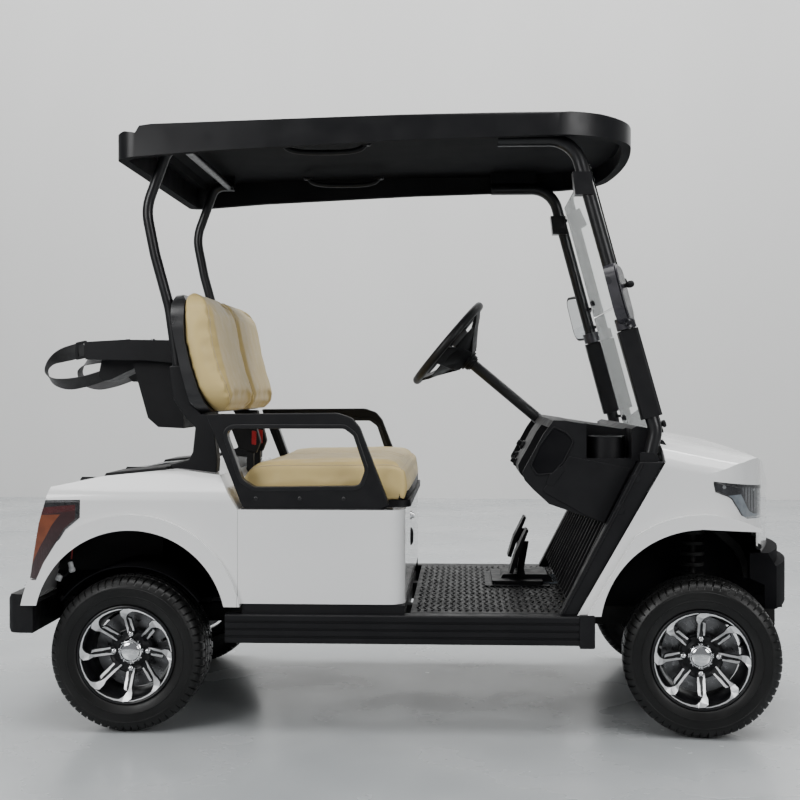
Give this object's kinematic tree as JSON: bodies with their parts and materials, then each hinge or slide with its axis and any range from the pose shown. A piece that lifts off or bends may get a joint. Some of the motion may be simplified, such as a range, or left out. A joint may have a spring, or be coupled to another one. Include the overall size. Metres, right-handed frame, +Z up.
{
  "type": "golf cart",
  "caption": "Open electric golf cart with a flat roof, split windshield, padded bench seat, steerable alloy wheels, dash cup holders and a rear golf-bag well with straps.",
  "frame": {"origin": "on the ground, under the middle of the cart's overall box", "axes": "+X forward, +Y to the driver's left, +Z up"},
  "size_m": [2.361, 1.3892, 1.789],
  "materials": {
    "tyre_rubber": "matte",
    "alloy": "gloss",
    "chrome": "polished",
    "disc_steel": "satin",
    "frame_black": "satin",
    "battery_case": "matte",
    "cast_grey": "matte",
    "steel": "satin",
    "body_white": "gloss",
    "trim_black": "matte",
    "grip_black": "satin",
    "roof_black": "gloss",
    "glass": "clear",
    "lamp_lens": "clear",
    "red_lens": "gloss",
    "shell_plastic": "satin",
    "seat_leather": "satin",
    "mat_rubber": "matte",
    "webbing": "matte"
  },
  "bodies": {
    "cart": {"chassis_frame": "frame_black", "frame_uprights": "frame_black", "front_roof_frame": "frame_black", "rear_roof_frame": "frame_black", "seat_supports": "frame_black", "leaf_springs": "frame_black", "front_axle": "frame_black", "battery_pack": "battery_case", "rear_axle": "cast_grey", "front_struts": "steel", "rear_body": "body_white", "seat_pod": "body_white", "front_cowl": "body_white", "wheel_houses": "trim_black", "floor_pan": "trim_black", "kick_panel": "trim_black", "rockers": "trim_black", "front_bumper": "trim_black", "rear_bumper": "trim_black", "dash": "trim_black", "steering_column": "trim_black", "pedals": "trim_black", "mirrors": "trim_black", "post_sleeves": "trim_black", "bag_tray": "trim_black", "bag_carrier": "trim_black", "armrests": "trim_black", "belt_buckles": "trim_black", "roof": "roof_black", "windshield": "glass", "headlights": "lamp_lens", "tail_lamps": "red_lens", "seat_back_shell": "shell_plastic", "seat_back_cushion": "seat_leather", "deck_mat": "mat_rubber", "bag_straps": "webbing"},
    "seat": {"seat_base": "trim_black", "seat_cushion": "seat_leather"},
    "steering_wheel": {"steering_wheel": "grip_black"},
    "knuckle_left": {"knuckle_left": "frame_black"},
    "knuckle_right": {"knuckle_right": "frame_black"},
    "tie_rod": {"tie_rod": "steel"},
    "wheel_front_left": {"tyre_front_left": "tyre_rubber", "rim_front_left": "alloy", "hub_cap_front_left": "chrome", "disc_front_left": "disc_steel"},
    "wheel_front_right": {"tyre_front_right": "tyre_rubber", "rim_front_right": "alloy", "hub_cap_front_right": "chrome", "disc_front_right": "disc_steel"},
    "wheel_rear_left": {"tyre_rear_left": "tyre_rubber", "rim_rear_left": "alloy", "hub_cap_rear_left": "chrome", "disc_rear_left": "disc_steel"},
    "wheel_rear_right": {"tyre_rear_right": "tyre_rubber", "rim_rear_right": "alloy", "hub_cap_rear_right": "chrome", "disc_rear_right": "disc_steel"}
  },
  "joints": [
    {"name": "rear_left_spin", "type": "hinge", "parent": "cart", "child": "wheel_rear_left", "pos_m": [-0.8155, 0.5025, 0.225], "axis": [0, 1, 0], "continuous": true},
    {"name": "rear_right_spin", "type": "hinge", "parent": "cart", "child": "wheel_rear_right", "pos_m": [-0.8155, -0.5025, 0.225], "axis": [0, 1, 0], "continuous": true},
    {"name": "steer_left", "type": "hinge", "parent": "cart", "child": "knuckle_left", "pos_m": [0.8505, 0.445, 0.225], "axis": [0, 0, 1], "range_deg": [-20, 32]},
    {"name": "steer_right", "type": "hinge", "parent": "cart", "child": "knuckle_right", "pos_m": [0.8505, -0.445, 0.225], "axis": [0, 0, 1], "range_deg": [-20, 32]},
    {"name": "front_left_spin", "type": "hinge", "parent": "knuckle_left", "child": "wheel_front_left", "pos_m": [0.85651, 0.50218, 0.225], "axis": [0.1045, 0.9945, 0], "continuous": true},
    {"name": "front_right_spin", "type": "hinge", "parent": "knuckle_right", "child": "wheel_front_right", "pos_m": [0.84449, -0.50218, 0.225], "axis": [0.1045, 0.9945, 0], "continuous": true},
    {"name": "tie_rod_swing", "type": "hinge", "parent": "knuckle_left", "child": "tie_rod", "pos_m": [0.76597, 0.45388, 0.205], "axis": [0, 0, 1], "range_deg": [-32, 20]},
    {"name": "steering_wheel_turn", "type": "hinge", "parent": "cart", "child": "steering_wheel", "pos_m": [0.1045, 0.28, 1.155], "axis": [-0.766, 0, 0.6428], "range_deg": [-240, 384]},
    {"name": "seat_lid", "type": "hinge", "parent": "cart", "child": "seat", "pos_m": [0.0005, 0, 0.65], "axis": [0, 1, 0], "range_deg": [0, 50]}
  ],
  "couplings": [
    {"joint": "steer_right", "follows": "steer_left", "ratio": 1},
    {"joint": "tie_rod_swing", "follows": "steer_left", "ratio": -1},
    {"joint": "steering_wheel_turn", "follows": "steer_left", "ratio": 12}
  ]
}
